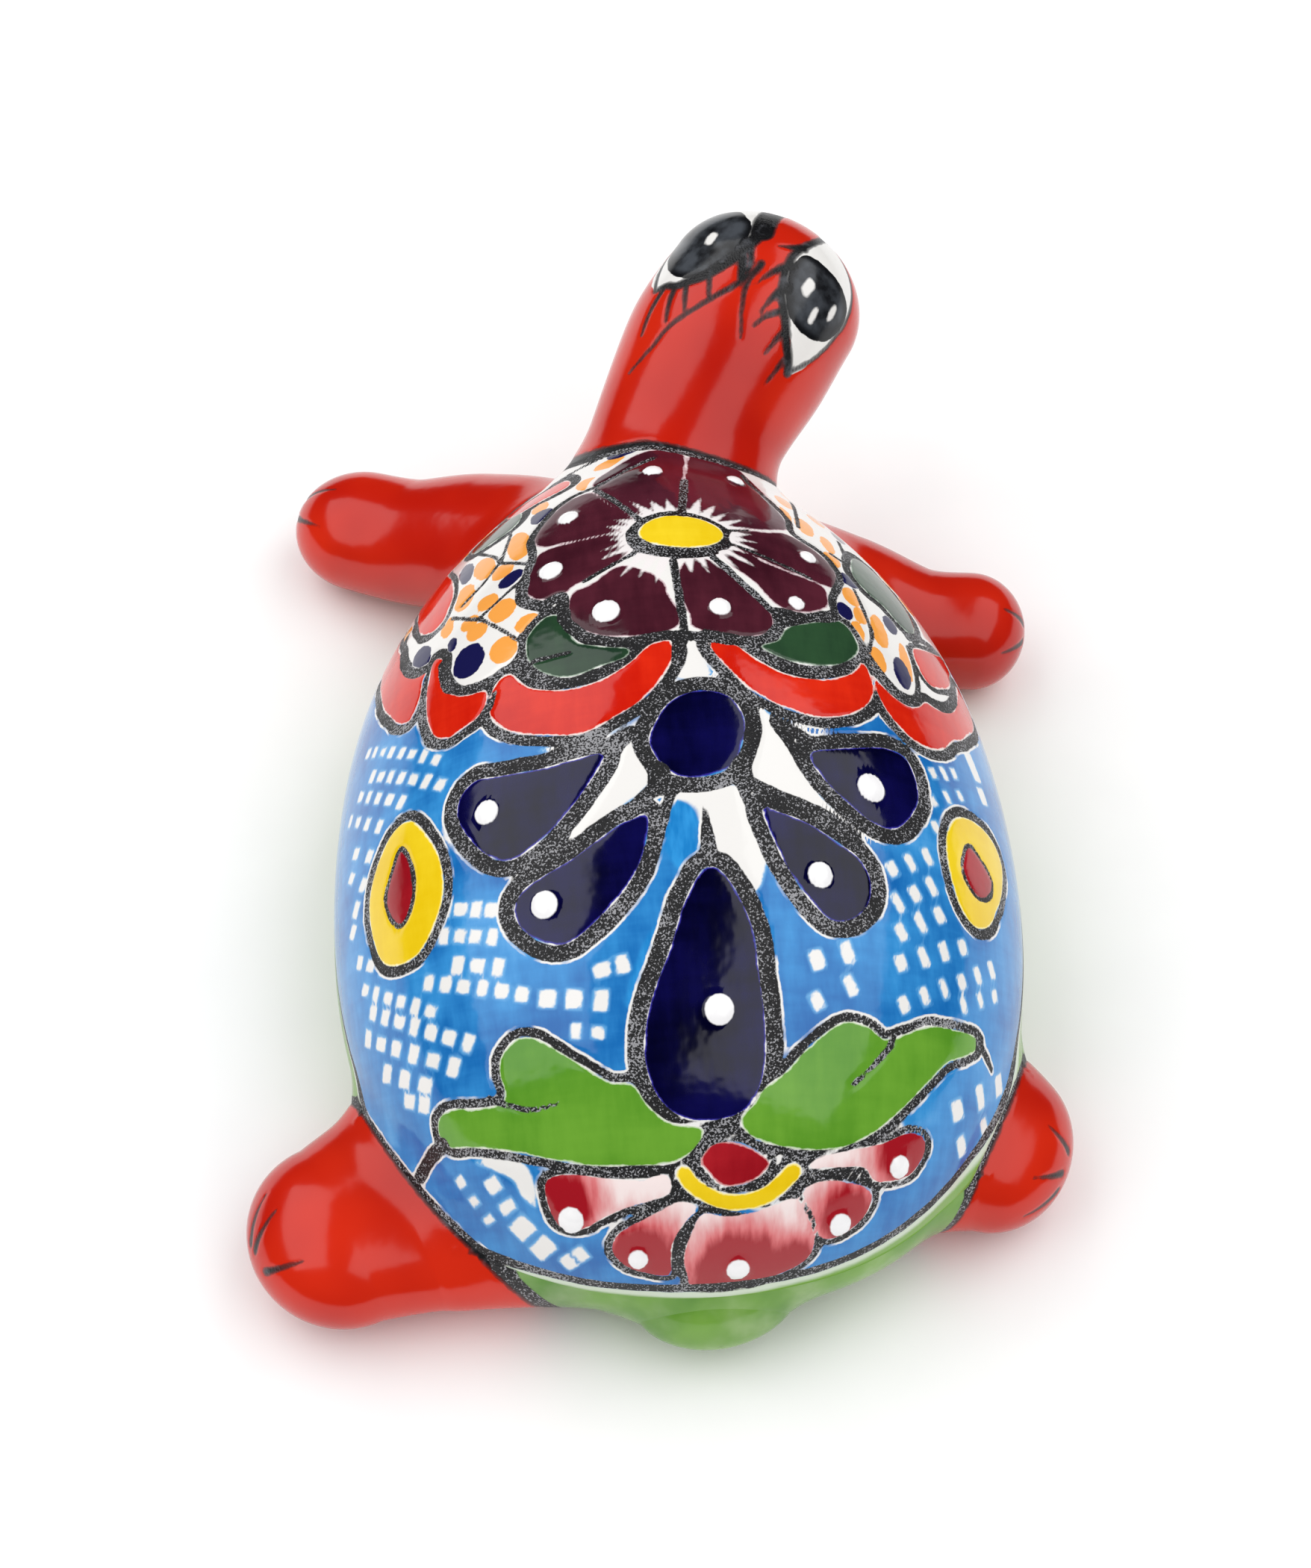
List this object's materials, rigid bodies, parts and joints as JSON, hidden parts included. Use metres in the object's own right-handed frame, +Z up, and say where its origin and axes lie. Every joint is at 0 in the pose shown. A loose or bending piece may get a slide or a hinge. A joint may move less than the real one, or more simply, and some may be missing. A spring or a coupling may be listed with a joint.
{
  "type": "ceramic turtle figurine",
  "caption": "Hollow glazed ceramic turtle with a painted flower-and-petal shell, red head and limbs and a green underside; a free-standing ornament.",
  "frame": {"origin": "centre of the shell's length and width, on the plane that the belly and feet rest on", "axes": "+Z up, +Y towards the tail, +X towards the turtle's left, head towards -Y and turned towards -X"},
  "size_m": [0.1265, 0.1786, 0.0677],
  "materials": {
    "shell_glaze": "opaque glossy glazes, mainly sky blue, cobalt, purple, red and two greens with matte black outlines, over white",
    "green_glaze": "glossy green glaze, thin and uneven",
    "red_glaze": "thick glossy red glaze"
  },
  "bodies": {
    "root": {"carapace": "shell_glaze", "rim_band": "green_glaze", "belly": "green_glaze", "neck_and_head": "red_glaze", "front_left_flipper": "red_glaze", "front_right_flipper": "red_glaze", "rear_left_foot": "red_glaze", "rear_right_foot": "red_glaze", "tail": "green_glaze"}
  },
  "joints": []
}
